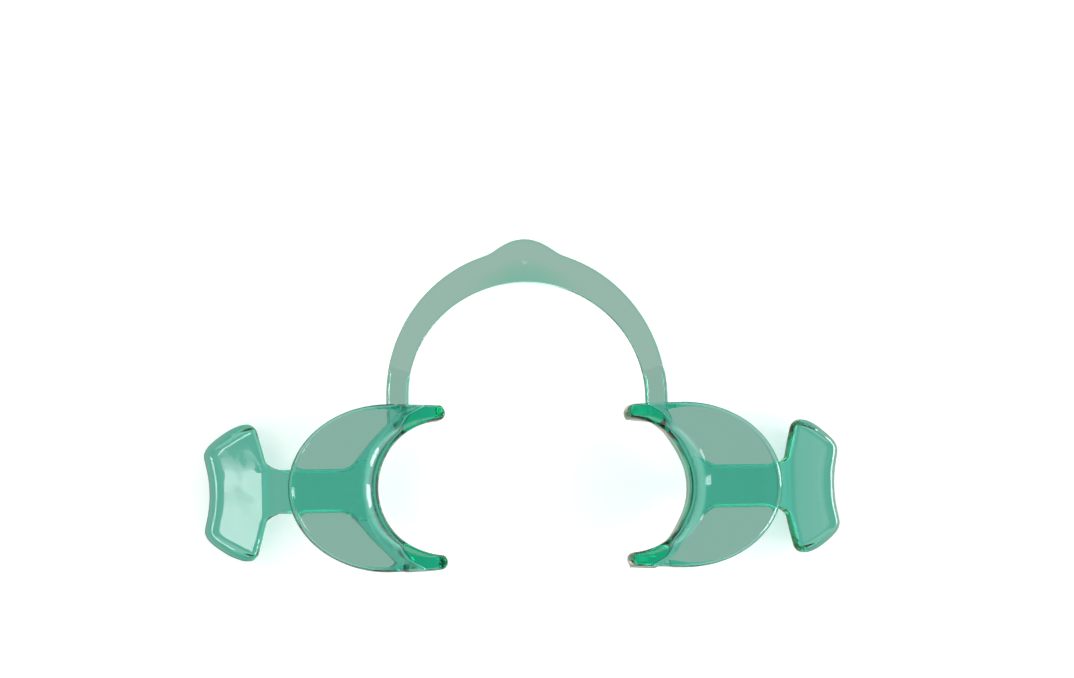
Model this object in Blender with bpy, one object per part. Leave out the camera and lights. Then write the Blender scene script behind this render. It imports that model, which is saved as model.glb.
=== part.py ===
"""A small cheek retractor: two lip saddles with finger handles on one springy bow.

The object lies on its back, with the side that goes into the mouth facing up. +X runs along the line of
the handles, +Y towards the crown of the bow, and the origin is under the middle of its bounding box.
Lengths are in millimetres until a mesh is made, which is in metres.
"""

import math

import bmesh
import bpy
import numpy as np

MILLIMETRE = 0.001

# Driving dimensions, in millimetres and degrees
SEAM_GAP = 0.3
EDGE_ROUND = 0.45
EDGE_STEPS = 2
SHARP_ANGLE = 40.0
HINGE_MARK = 3.0

REAR_CLEARANCE = 4.5
CHANNEL_DEPTH = 8.3

THROAT_RADIUS = 13.2
THROAT_CENTRE_X = 17.9
WEB_WALL = 2.0

INNER_FLANGE_WALL = 1.5
INNER_FLANGE_ELLIPSE_CENTRE_X = 29.5
INNER_FLANGE_LENGTH = 19.6
INNER_FLANGE_HALF_HEIGHT = 16.3
HORN_HALF_HEIGHT = 15.9
INNER_ROLL_RADIUS = 5.0
INNER_ROLL_DEPTH = 4.2
HORN_ROLL_SOFTNESS = 1.5
HORN_LEAST_SINE = 0.1

OUTER_FLANGE_WALL = 2.0
OUTER_FLANGE_REACH = 5.6
OUTER_FLANGE_TIP_REACH = 2.7
OUTER_SWELL_ANGLE = 60.0
OUTER_ROLL_RADIUS = 2.6
OUTER_ROLL_DEPTH = 2.6

STEM_WIDTH = 8.5
STEM_WALL = 2.5
STEM_FLARE = 1.5
STEM_FLARE_LENGTH = 3.0
BEND_START_X = 46.8

HANDLE_WALL = 2.5
HANDLE_START_X = 49.8
HANDLE_WAIST_X = 52.0
HANDLE_INNER_CORNER_X = 54.5
HANDLE_HALF_HEIGHT = 13.4
HANDLE_TIP_X = 64.85
HANDLE_TIP_HALF_HEIGHT = 8.2
HANDLE_END_HOLLOW = 1.5
HANDLE_FILLET = 1.8
HANDLE_LOBE_X = 57.8
HANDLE_CORNER_ROUND = 1.6
HANDLE_CORNER_SHARE = 0.9
HANDLE_CORNER_BLEND = 0.8

BOW_WALL = 1.6
BOW_CENTRE_Y = 18.2
BOW_INNER_HALF_WIDTH = 24.0
BOW_INNER_HEIGHT = 23.0
LEG_WIDTH = 4.3
CROWN_WIDTH = 6.5
HUMP_HEIGHT = 2.2
HUMP_RADIUS = 9.4
HUMP_BLEND = 0.4
ROOT_WALL = 2.0
CROWN_SEAM_ANGLE = 64.0
SHOULDER_SEAM_ANGLE = 34.0
ROOT_SEAM_ANGLE = 9.0

# Steps of the grids
THROAT_STEPS = 36
ROLL_STEPS = 5
PLATE_STEPS = 2
CROWN_STEPS = 20
BOW_STEPS = 9
BOW_CROSS_STEPS = 2
STEM_STEPS = 10
STEM_CROSS_STEPS = 4
HANDLE_LANE_STEPS = 24
HANDLE_CROSS_STEPS = 2
FOOT_FIT_STEPS = 8

CLEAR_GREEN = (0.10, 0.45, 0.32, 1.0)
PLASTIC_ROUGHNESS = 0.08
PLASTIC_IOR = 1.586
PLASTIC_TRANSMISSION = 0.8

# Heights of the middle of each wall above the table
REAR_MIDDLE_Z = REAR_CLEARANCE + OUTER_FLANGE_WALL / 2
FRONT_MIDDLE_Z = REAR_CLEARANCE + OUTER_FLANGE_WALL + CHANNEL_DEPTH + INNER_FLANGE_WALL / 2
WEB_LOW_Z = REAR_MIDDLE_Z + OUTER_ROLL_DEPTH + SEAM_GAP
WEB_HIGH_Z = FRONT_MIDDLE_Z - INNER_ROLL_DEPTH - SEAM_GAP

BOW_OUTER_HEIGHT = BOW_INNER_HEIGHT + CROWN_WIDTH
CROWN_TOP_Y = BOW_CENTRE_Y + BOW_OUTER_HEIGHT + HUMP_HEIGHT
MIDDLE_Y = (CROWN_TOP_Y - INNER_FLANGE_HALF_HEIGHT) / 2


def soft_minimum(first, second, blend):
    """The smaller of two curves, with their corner rounded over about the blend length."""
    return -blend * np.log(np.exp(-first / blend) + np.exp(-second / blend))


def inner_flange_radius(angle):
    """From the throat's centre to the inner flange's edge: half an ellipse, then straight to the horn."""
    shift = INNER_FLANGE_ELLIPSE_CENTRE_X - THROAT_CENTRE_X
    across = np.cos(angle)
    up = np.abs(np.sin(angle))
    square = (across / INNER_FLANGE_LENGTH) ** 2 + (up / INNER_FLANGE_HALF_HEIGHT) ** 2
    linear = across * shift / INNER_FLANGE_LENGTH**2
    constant = (shift / INNER_FLANGE_LENGTH) ** 2 - 1.0
    on_ellipse = (linear + np.sqrt(linear**2 - square * constant)) / square
    rise = (INNER_FLANGE_HALF_HEIGHT - HORN_HALF_HEIGHT) / shift
    on_horn = HORN_HALF_HEIGHT / np.maximum(up - rise * across, HORN_LEAST_SINE)
    past_ellipse_top = up * shift > across * INNER_FLANGE_HALF_HEIGHT
    return np.where(past_ellipse_top, on_horn, on_ellipse)


def outer_flange_radius(angle):
    """Distance from the throat's centre to the outer flange's edge, widest in the middle."""
    share = np.minimum(np.abs(angle) / math.radians(OUTER_SWELL_ANGLE), 1.0)
    swell = np.cos(share * math.pi / 2) ** 2
    return THROAT_RADIUS + OUTER_FLANGE_TIP_REACH + (OUTER_FLANGE_REACH - OUTER_FLANGE_TIP_REACH) * swell


def throat_angles():
    return np.linspace(-math.pi / 2, math.pi / 2, THROAT_STEPS + 1)


def round_throat(radius, height):
    """Points at a radius from the throat's centre, one row for each angle round the throat."""
    angle = throat_angles()[:, None] + 0.0 * radius
    x = THROAT_CENTRE_X + radius * np.cos(angle)
    y = radius * np.sin(angle)
    return np.stack([x, y, height + 0.0 * radius], axis=-1)


def rolled_flange(edge_radius, roll_radius, seam_z, throat_face_z, channel_face_z):
    """Two faces of a flange that rolls out of the web: a quarter ellipse, then a flat plate to the edge."""
    edge = edge_radius(throat_angles())[:, None]
    reach = edge - THROAT_RADIUS - WEB_WALL
    channel_roll = roll_radius * reach / (reach + roll_radius)
    throat_roll = channel_roll + WEB_WALL * reach / (reach + HORN_ROLL_SOFTNESS)
    turn = np.linspace(0.0, math.pi / 2, ROLL_STEPS + 1)[None, :]
    across_plate = np.linspace(0.0, 1.0, PLATE_STEPS + 1)[None, 1:]
    faces = []
    for wall_radius, roll, face_z in (
        (THROAT_RADIUS, throat_roll, throat_face_z),
        (THROAT_RADIUS + WEB_WALL, channel_roll, channel_face_z),
    ):
        rolled = wall_radius + roll * (1.0 - np.cos(turn))
        rolled_z = seam_z + (face_z - seam_z) * np.sin(turn) + 0.0 * rolled
        plate_start = wall_radius + roll
        plate = plate_start + (edge - plate_start) * across_plate
        radius = np.concatenate([rolled, plate], axis=1)
        height = np.concatenate([rolled_z, face_z + 0.0 * plate], axis=1)
        faces.append(round_throat(radius, height))
    return faces


def bow_edges(angle):
    """Inner and outer edge of the bow: two half ellipses, and a dome on the middle of the outer one."""
    inner_x = BOW_INNER_HALF_WIDTH * np.cos(angle)
    inner_y = BOW_CENTRE_Y + BOW_INNER_HEIGHT * np.sin(angle)
    outer_x = (BOW_INNER_HALF_WIDTH + LEG_WIDTH) * np.cos(angle)
    ellipse_y = BOW_CENTRE_Y + BOW_OUTER_HEIGHT * np.sin(angle)
    dome_y = CROWN_TOP_Y - outer_x**2 / HUMP_RADIUS / 2
    outer_y = -soft_minimum(-ellipse_y, -dome_y, HUMP_BLEND)
    return np.stack([inner_x, inner_y], axis=-1), np.stack([outer_x, outer_y], axis=-1)


def bow_faces(first_angle, last_angle, steps):
    """Back and front face of a stretch of the bow between two angles, level with the stems."""
    angle = np.linspace(first_angle, last_angle, steps + 1)
    inner, outer = bow_edges(angle)
    share = np.linspace(0.0, 1.0, BOW_CROSS_STEPS + 1)[None, :, None]
    flat = inner[:, None] + (outer - inner)[:, None] * share
    back_z = np.full_like(flat[..., :1], REAR_CLEARANCE)
    back = np.concatenate([flat, back_z], axis=-1)
    return back, back + np.array([0.0, 0.0, BOW_WALL])


def handle_edges(y):
    """Inner and outer edge of the fishtail handle across its height."""
    up = np.abs(y)
    corner = np.clip((up - HANDLE_HALF_HEIGHT + HANDLE_CORNER_ROUND) / HANDLE_CORNER_ROUND, 0.0, 1.0)
    rounding = HANDLE_CORNER_ROUND * (1.0 - np.sqrt(1.0 - HANDLE_CORNER_SHARE * corner**2))
    half_stem = STEM_WIDTH / 2
    slant = (HANDLE_INNER_CORNER_X - HANDLE_WAIST_X) / (HANDLE_HALF_HEIGHT - half_stem)
    flank = HANDLE_WAIST_X + slant * (up - half_stem)
    beside_stem = np.clip(1.0 - (up - half_stem) / HANDLE_FILLET, 0.0, 1.0)
    fillet = (HANDLE_WAIST_X - HANDLE_START_X) * beside_stem**2
    inner = np.where(up <= half_stem, HANDLE_START_X, flank - fillet) + rounding
    hollow_end = HANDLE_TIP_X - HANDLE_END_HOLLOW * (1.0 - (up / HANDLE_TIP_HALF_HEIGHT) ** 2)
    lobe_slope = (HANDLE_TIP_X - HANDLE_LOBE_X) / (HANDLE_HALF_HEIGHT - HANDLE_TIP_HALF_HEIGHT)
    lobe_edge = HANDLE_TIP_X - lobe_slope * (up - HANDLE_TIP_HALF_HEIGHT)
    outer = soft_minimum(hollow_end, lobe_edge, HANDLE_CORNER_BLEND) - rounding
    return inner, outer


def handle_lanes():
    return HANDLE_HALF_HEIGHT * np.sin(np.linspace(-math.pi / 2, math.pi / 2, HANDLE_LANE_STEPS + 1))


def sweep_slope():
    """How steeply the handle sweeps back, so that its outer end comes down to the table."""
    bend_share = (HANDLE_START_X - BEND_START_X) / 2
    return REAR_CLEARANCE / (bend_share + handle_edges(handle_lanes())[1].max() - HANDLE_START_X)


def swept_wall(x, y, wall):
    """Back and front face of the stem or handle: flat, then a parabola, then a straight slope backwards."""
    bend_length = HANDLE_START_X - BEND_START_X
    past_start = np.clip(x - BEND_START_X, 0.0, bend_length)
    past_bend = np.maximum(x - HANDLE_START_X, 0.0)
    slope = sweep_slope() * past_start / bend_length
    back_z = REAR_CLEARANCE - slope * past_start / 2 - slope * past_bend
    front_z = back_z + wall * np.sqrt(1.0 + slope**2)
    return np.stack([x, y, back_z], axis=-1), np.stack([x, y, front_z], axis=-1)


def stem_faces():
    """The stem runs from the outer flange's edge, where it flares, to the handle's start."""
    along = np.linspace(0.0, 1.0, STEM_STEPS + 1)[:, None]
    across = np.linspace(-1.0, 1.0, STEM_CROSS_STEPS + 1)[None, :]
    first_x = THROAT_CENTRE_X + outer_flange_radius(0.0) + SEAM_GAP
    last_x = HANDLE_START_X - SEAM_GAP
    straight_x = first_x + (last_x - first_x) * along
    flare = STEM_FLARE * np.clip(1.0 - (straight_x - first_x) / STEM_FLARE_LENGTH, 0.0, 1.0) ** 2
    y = across * (STEM_WIDTH / 2 + flare)
    start_angle = np.arcsin(y[:1] / (first_x - THROAT_CENTRE_X))
    start_radius = outer_flange_radius(start_angle) + SEAM_GAP
    start_x = THROAT_CENTRE_X + np.sqrt(start_radius**2 - y[:1] ** 2)
    x = straight_x + (start_x - first_x) * (1.0 - along)
    return swept_wall(x, y, STEM_WALL)


def handle_faces():
    """Lanes across the fishtail, each from its inner edge to its outer edge."""
    y = handle_lanes()
    inner, outer = handle_edges(y)
    along = np.linspace(0.0, 1.0, HANDLE_CROSS_STEPS + 1)[:, None]
    x = inner[None, :] + (outer - inner)[None, :] * along
    return swept_wall(x, y[None, :] + 0.0 * x, HANDLE_WALL)


def root_faces():
    """The bow's foot: it follows the bow's edges down, and ends on the outer flange's edge."""
    start = math.radians(ROOT_SEAM_ANGLE) - seam_half_angle()
    inner, outer = bow_edges(np.array([start]))
    share = np.linspace(0.0, 1.0, BOW_CROSS_STEPS + 1)
    top = inner + (outer - inner) * share[:, None]
    foot_x = BOW_INNER_HALF_WIDTH + LEG_WIDTH * share
    foot_y = np.full_like(foot_x, THROAT_RADIUS)
    for _ in range(FOOT_FIT_STEPS):
        angle = np.arctan2(foot_y, foot_x - THROAT_CENTRE_X)
        radius = outer_flange_radius(angle) + SEAM_GAP
        foot_y = np.sqrt(radius**2 - (foot_x - THROAT_CENTRE_X) ** 2)
    along = np.linspace(0.0, 1.0, PLATE_STEPS + 1)[:, None]
    x = top[None, :, 0] + (foot_x - top[:, 0])[None, :] * np.sin(along * math.pi / 2)
    y = top[None, :, 1] + (foot_y - top[:, 1])[None, :] * along
    back = np.stack([x, y, REAR_CLEARANCE + 0.0 * x], axis=-1)
    return back, back + np.array([0.0, 0.0, ROOT_WALL])


def web_faces():
    """The upright wall of the throat, between the seams of the two flanges."""
    height = np.linspace(WEB_LOW_Z, WEB_HIGH_Z, PLATE_STEPS + 1)[None, :]
    height = height + 0.0 * throat_angles()[:, None]
    throat_side = round_throat(THROAT_RADIUS + 0.0 * height, height)
    channel_side = round_throat(THROAT_RADIUS + WEB_WALL + 0.0 * height, height)
    return throat_side, channel_side


def inner_flange_faces():
    seam_z = FRONT_MIDDLE_Z - INNER_ROLL_DEPTH
    half = INNER_FLANGE_WALL / 2
    return rolled_flange(
        inner_flange_radius, INNER_ROLL_RADIUS, seam_z, FRONT_MIDDLE_Z + half, FRONT_MIDDLE_Z - half
    )


def outer_flange_faces():
    seam_z = REAR_MIDDLE_Z + OUTER_ROLL_DEPTH
    half = OUTER_FLANGE_WALL / 2
    return rolled_flange(
        outer_flange_radius, OUTER_ROLL_RADIUS, seam_z, REAR_MIDDLE_Z - half, REAR_MIDDLE_Z + half
    )


def seam_half_angle():
    """Half the seam's gap, as an angle on the middle of the bow."""
    middle_radius = BOW_INNER_HALF_WIDTH + LEG_WIDTH / 2
    return SEAM_GAP / 2 / middle_radius


def hinge_point(seam_angle):
    """Middle of the bow's width at a seam, where the bow bends."""
    inner, outer = bow_edges(np.array([math.radians(seam_angle)]))
    middle = (inner[0] + outer[0]) / 2
    return np.array([middle[0], middle[1], 0.0])


def slab_faces(rows, columns):
    """Quads of two facing grids and of the rim that joins them."""
    index = np.arange(rows * columns).reshape(rows, columns)
    first = np.stack([index[:-1, :-1], index[1:, :-1], index[1:, 1:], index[:-1, 1:]], axis=-1).reshape(-1, 4)
    second = first[:, ::-1] + rows * columns
    loop = np.concatenate([index[0, :-1], index[:-1, -1], index[-1, :0:-1], index[:0:-1, 0]])
    onward = np.roll(loop, -1)
    rim = np.stack([loop, onward, onward + rows * columns, loop + rows * columns], axis=-1)
    return np.concatenate([first, second, rim])


def clear_plastic(name):
    """Clear green moulded plastic."""
    material = bpy.data.materials.new(name)
    material.use_nodes = True
    shader = material.node_tree.nodes["Principled BSDF"]
    shader.inputs["Base Color"].default_value = CLEAR_GREEN
    shader.inputs["Roughness"].default_value = PLASTIC_ROUGHNESS
    shader.inputs["Metallic"].default_value = 0.0
    shader.inputs["IOR"].default_value = PLASTIC_IOR
    shader.inputs["Transmission Weight"].default_value = PLASTIC_TRANSMISSION
    return material


def add_slab(name, faces, side, frame):
    """One piece of the moulding, on its own side, carried by the empty on its hinge."""
    first, second = faces
    rows, columns = first.shape[:2]
    points = np.concatenate([first.reshape(-1, 3), second.reshape(-1, 3)])
    points = points * np.array([side, 1.0, 1.0]) - np.array(frame["at"])
    mesh = bpy.data.meshes.new(name)
    mesh.from_pydata((points * MILLIMETRE).tolist(), [], slab_faces(rows, columns).tolist())
    body = bmesh.new()
    body.from_mesh(mesh)
    bmesh.ops.recalc_face_normals(body, faces=body.faces)
    body.to_mesh(mesh)
    body.free()
    mesh.shade_smooth()
    mesh.set_sharp_from_angle(angle=math.radians(SHARP_ANGLE))
    mesh.materials.append(clear_plastic(name))
    piece = bpy.data.objects.new(name, mesh)
    bpy.context.scene.collection.objects.link(piece)
    piece.parent = frame["empty"]
    rounding = piece.modifiers.new("edge_rounding", "BEVEL")
    rounding.width = EDGE_ROUND * MILLIMETRE
    rounding.segments = EDGE_STEPS
    rounding.limit_method = "ANGLE"
    rounding.angle_limit = math.radians(SHARP_ANGLE)
    return piece


def add_frame(name, at, parent=None):
    """An empty on a hinge axis. Its place is counted from the saddles' middle line."""
    empty = bpy.data.objects.new(name, None)
    empty.empty_display_size = HINGE_MARK * MILLIMETRE
    bpy.context.scene.collection.objects.link(empty)
    origin = np.array([0.0, MIDDLE_Y, 0.0]) if parent is None else np.array(parent["at"])
    empty.location = tuple((np.array(at) - origin) * MILLIMETRE)
    if parent is not None:
        empty.parent = parent["empty"]
    return {"empty": empty, "at": at}


def add_side(label, side, crown):
    """Everything on one side of the crown: two bending zones of the bow, then the rigid saddle and handle."""
    mirror = np.array([side, 1.0, 1.0])
    half_gap = seam_half_angle()
    crown_seam = math.radians(CROWN_SEAM_ANGLE)
    shoulder_seam = math.radians(SHOULDER_SEAM_ANGLE)
    root_seam = math.radians(ROOT_SEAM_ANGLE)
    shoulder = add_frame(f"crown_hinge_{label}", hinge_point(CROWN_SEAM_ANGLE) * mirror, crown)
    leg = add_frame(f"shoulder_hinge_{label}", hinge_point(SHOULDER_SEAM_ANGLE) * mirror, shoulder)
    saddle = add_frame(f"root_hinge_{label}", hinge_point(ROOT_SEAM_ANGLE) * mirror, leg)
    shoulder_faces = bow_faces(shoulder_seam + half_gap, crown_seam - half_gap, BOW_STEPS)
    leg_faces = bow_faces(root_seam + half_gap, shoulder_seam - half_gap, BOW_STEPS)
    add_slab(f"bow_shoulder_{label}", shoulder_faces, side, shoulder)
    add_slab(f"bow_leg_{label}", leg_faces, side, leg)
    add_slab(f"bow_root_{label}", root_faces(), side, saddle)
    add_slab(f"outer_flange_{label}", outer_flange_faces(), side, saddle)
    add_slab(f"throat_web_{label}", web_faces(), side, saddle)
    add_slab(f"inner_flange_{label}", inner_flange_faces(), side, saddle)
    add_slab(f"stem_{label}", stem_faces(), side, saddle)
    add_slab(f"handle_{label}", handle_faces(), side, saddle)


def main():
    for item in list(bpy.data.objects):
        bpy.data.objects.remove(item, do_unlink=True)
    crown = add_frame("crown_frame", np.array([0.0, CROWN_TOP_Y, 0.0]))
    crown_end = math.radians(CROWN_SEAM_ANGLE) + seam_half_angle()
    add_slab("bow_crown", bow_faces(crown_end, math.pi - crown_end, CROWN_STEPS), 1.0, crown)
    add_side("right", 1.0, crown)
    add_side("left", -1.0, crown)


main()
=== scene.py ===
"""The looks of a small clear green cheek retractor, laid out as a Blender add-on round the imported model."""

import math
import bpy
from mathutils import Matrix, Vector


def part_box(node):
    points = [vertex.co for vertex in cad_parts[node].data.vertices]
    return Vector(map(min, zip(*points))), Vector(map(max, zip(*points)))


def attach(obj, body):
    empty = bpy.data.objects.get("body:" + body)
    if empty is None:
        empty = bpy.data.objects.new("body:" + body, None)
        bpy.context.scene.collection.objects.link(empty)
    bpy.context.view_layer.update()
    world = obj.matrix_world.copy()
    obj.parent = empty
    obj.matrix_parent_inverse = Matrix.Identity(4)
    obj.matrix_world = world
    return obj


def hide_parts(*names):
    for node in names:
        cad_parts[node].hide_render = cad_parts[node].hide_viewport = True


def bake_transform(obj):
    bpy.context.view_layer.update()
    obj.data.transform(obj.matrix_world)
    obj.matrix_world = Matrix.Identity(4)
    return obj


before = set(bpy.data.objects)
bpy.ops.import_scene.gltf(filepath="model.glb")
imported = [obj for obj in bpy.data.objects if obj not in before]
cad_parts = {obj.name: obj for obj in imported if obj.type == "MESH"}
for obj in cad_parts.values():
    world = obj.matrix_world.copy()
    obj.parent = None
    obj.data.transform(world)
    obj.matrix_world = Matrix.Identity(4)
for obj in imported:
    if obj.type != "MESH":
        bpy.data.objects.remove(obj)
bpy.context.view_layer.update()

from types import SimpleNamespace

import bmesh
import bpy
import numpy as np
from mathutils import Matrix, Vector

bl_info = {
    "name": "Clear cheek retractor",
    "version": (1, 0, 0),
    "blender": (4, 5, 0),
    "location": "3D View > Sidebar > Retractor",
    "description": "Builds a moulded clear green cheek retractor on its packed frame",
    "category": "Add Mesh",
}

MILLIMETRE = 0.001
DEGREE = math.pi / 180
SIZE_DIGITS = 5  # decimals of a millimetre or degree that a stored size is rounded to
QUARTER_TURN = math.pi / 2
SIDES = {"right": 1.0, "left": -1.0}
RIGID_NODES = ("bow_root", "outer_flange", "throat_web", "inner_flange", "stem", "handle")
THIN_PLASTIC = "clear_green_polycarbonate_thin"
LENS_ATTRIBUTE = "lens_depth"

# The saddle's place, read from the frame in millimetres
FLANGE_LOW, FLANGE_HIGH = (np.array(corner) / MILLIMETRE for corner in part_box("inner_flange_right"))
SADDLE_Y = (FLANGE_LOW[1] + FLANGE_HIGH[1]) / 2
FACE_Z = FLANGE_HIGH[2]
BACK_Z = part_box("outer_flange_right")[0][2] / MILLIMETRE
FLANGE_CENTRE = 29.5

# Bow: lengths in millimetres
BOW_CORNER = 0.22  # rounding of the bow's edges
LENS_HALF_WIDTH = 12.5  # reach of the thick lens to each side of the crown's middle
LENS_SHARE = 0.55  # how much of the crown's width the lens takes up, from its inner edge
EDGE_TINT_WIDTH = 0.2  # width of the deeper green along the bow's edges
HUMP_BLEND = 0.4  # rounding between the hump and the bow's outer edge
GATE_Y, GATE_DEPTH, GATE_RADIUS = 45.6, 0.25, 0.45  # the dimple that the moulding gate leaves
FOOT_CHANGE = 2.5  # degrees over which the bow thickens into its foot
FOOT_SINK = 0.8  # share of the throat's wall that the foot runs into
BEAD_HEIGHT, BEAD_WIDTH = 0.6, 0.32  # fine bead along the edges of foot and stem

# Where the bow's skin is divided and bends, in degrees round the bow
CROWN_END = 71.0
ARM_SPLIT = 49.0
LEG_SPLIT = 12.5

# Stem and handle: lengths in millimetres
STEM_SINK = 0.4  # how far the stem runs into the handle
PROUD = 0.004  # how far a joined face stands out, so that no two faces lie in one plane
HANDLE_ROUND = 1.6  # rounding of the handle's tips in plan
HANDLE_ROUND_FULL = 0.9  # share of that rounding's quarter circle that is used
HANDLE_FILLET = 1.8  # fillet between the stem and the handle's flank
HANDLE_BLEND = 1.0  # rounding of the handle's outer corners
HANDLE_END, HANDLE_END_FULL = 0.9, 0.97  # length over which the tips thin out, and how far they do
HANDLE_SPREAD = 1.5  # crowds the handle's lanes towards its tips
LOBE_BULGE = 0.5  # bulge of the slanted outer edges
RIM_BEAD, RIM_BEAD_PLACE, RIM_BEAD_WIDTH = 0.8, 1.6, 0.65  # bead round the handle's end
RIM_FALL = 0.55  # share of the wall over which the handle's rim falls
RIM_MOST, EDGE_MOST, EDGE_DEPTH = 0.5, 0.25, 0.42  # most that rim and edge take of width and wall
SLANT_MOST = 6.0  # most that the square of the outer edge's slope counts

# Saddle and horns: lengths in millimetres, places in degrees round the throat
FLANK_BLEND = 0.25  # rounding between the arc and the flanks of the narrow crescent
ROLL_SHARE, ROLL_WALL_REACH = 0.75, 1.5  # how fast the rolls shrink as a flange narrows
SEAM_SHARE = 0.75  # most of the wall's depth that the outer roll takes
RIM_SHARE, LIP_SHARE, TAIL_SHARE = 0.55, 0.4, 0.8  # most of the free width that each rounding takes
LEAST_RISE = 0.1  # keeps the horn's edge finite along the stem
HORN_LEAN = (24.0, 72.0)  # where the throat's wall starts to lean, and leans in full
HORN_TIP = (48.0, 84.0)  # where the wall starts to thicken, and fills the tip
HORN_TAPER, HORN_RISE = (62.0, 88.0), 2.5  # where and how far the horn's back rises
HORN_WEB, HORN_SKIN = 1.1, 0.35  # wall of the leaning throat, and what stays outside it
HORN_ROLL, HORN_ROLL_DEPTH = 0.25, 0.4  # shares of the inner roll that are left on the horn
LIP_RANGE = (32.0, 78.0)  # where the flange's lip grows
LIP_DEPTH, LIP_WIDTH = (1.0, 5.5), (0.8, 1.5)  # the lip's depth and width, before and after
LIP_GAP = 0.3  # least gap between the lip and the narrow crescent
TIP_TURN = 88.0  # degrees over which a horn's tip is rounded
TIP_FULLEST = 3.0  # depth under the face at which the tip reaches furthest
TIP_ROUND = (3.7, 5.0)  # half heights of the tip's rounding, above and below that depth
HAIR = 0.02  # smallest rounding or gap
WELD = 0.002  # points nearer than this become one after a union

# Rows and steps of the surfaces
CROWN_ROWS, ARM_ROWS, LEG_ROWS, FOOT_ROWS = 121, 81, 40, 12
SADDLE_ROWS, TIP_ROWS, STEM_ROWS, HANDLE_ROWS = 181, 8, 70, 121
BAR_STEPS, CORNER_STEPS, ROUND_STEPS, FINE_STEPS = 18, 6, 10, 5
PLATE_STEPS, FACE_STEPS, UNDER_STEPS, SHELF_STEPS, WALL_STEPS, EDGE_STEPS = 24, 12, 10, 6, 4, 2

# Finish of the plastic: waves and patches in millimetres, absorption per metre
FLOW_WAVE, FLOW_DEPTH, FLOW_STRENGTH, FLOW_DETAIL = 9.0, 0.05, 0.25, 1.0
HAZE_PATCH, HAZE_DETAIL, HAZE_LEVELS = 4.0, 3.0, (0.4, 0.65)
GLOSS = (0.015, 0.1)
POLYCARBONATE_IOR = 1.586
TINT_PER_METRE = 490.0
SHARP_ANGLE = 32.0

# Stage: lengths in millimetres and turns in degrees; clip start, floor half side and lamps in metres
CAMERA_AIM = (2.14, 29.85, 5.5)
CAMERA_TURN = (10.45, 5.57, 1.32)
CAMERA_DISTANCE = 700.0
FRAME_WIDTH = 213.85
SENSOR_WIDTH = 36.0
CLIP_START = 0.01
FLOOR_HALF = 3.0
FLOOR_GAP = 0.2
FLOOR_GLOW = 0.30
FLOOR_ROUGHNESS = 0.9
LAMP_DISTANCE = 0.9
SOFTBOXES = (  # name, direction from the object, width and height, radiance
    ("left_glare", (-0.62, 0.0, 0.775), (0.36, 0.086), 7.0),
    ("left_front", (-0.513, -0.303, 0.803), (0.14, 0.14), 6.0),
    ("left_back", (-0.506, 0.447, 0.737), (0.12, 0.12), 6.0),
    ("right_front", (0.85, -0.34, 0.40), (0.28, 0.26), 10.0),
    ("right_back", (0.92, 0.12, 0.36), (0.28, 0.22), 11.0),
)

# Studio light by the height of a direction, from -1 straight down to 1 straight up
SKY_WALLS, SKY_TOP, SKY_TURN = 1.9, 0.22, (0.5, 0.72)
SKY_THROUGH = 0.85
GROUND_TURN, GROUND_DARK, HORIZON = (0.35, 0.8), 0.25, 0.002


def linear(hex_colour):
    """An sRGB hex value as linear red, green, blue and alpha."""
    channels = [int(hex_colour[i:i + 2], 16) / 255 for i in (1, 3, 5)]
    return [c / 12.92 if c <= 0.04045 else ((c + 0.055) / 1.055) ** 2.4 for c in channels] + [1.0]


def a_length(name, description, millimetres):
    """A size that a user may change, given in millimetres and kept in metres."""
    return bpy.props.FloatProperty(
        name=name, description=description, default=millimetres * MILLIMETRE, subtype="DISTANCE", precision=5)


def an_angle(name, description, degrees):
    """An angle that a user may change, given in degrees and kept in radians."""
    return bpy.props.FloatProperty(
        name=name, description=description, default=math.radians(degrees), subtype="ANGLE")


def a_colour(name, description, hex_colour):
    """A colour that a user may change, given as an sRGB hex value and kept linear."""
    return bpy.props.FloatVectorProperty(
        name=name, description=description, default=linear(hex_colour), subtype="COLOR", size=4,
        min=0.0, max=1.0)


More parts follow.
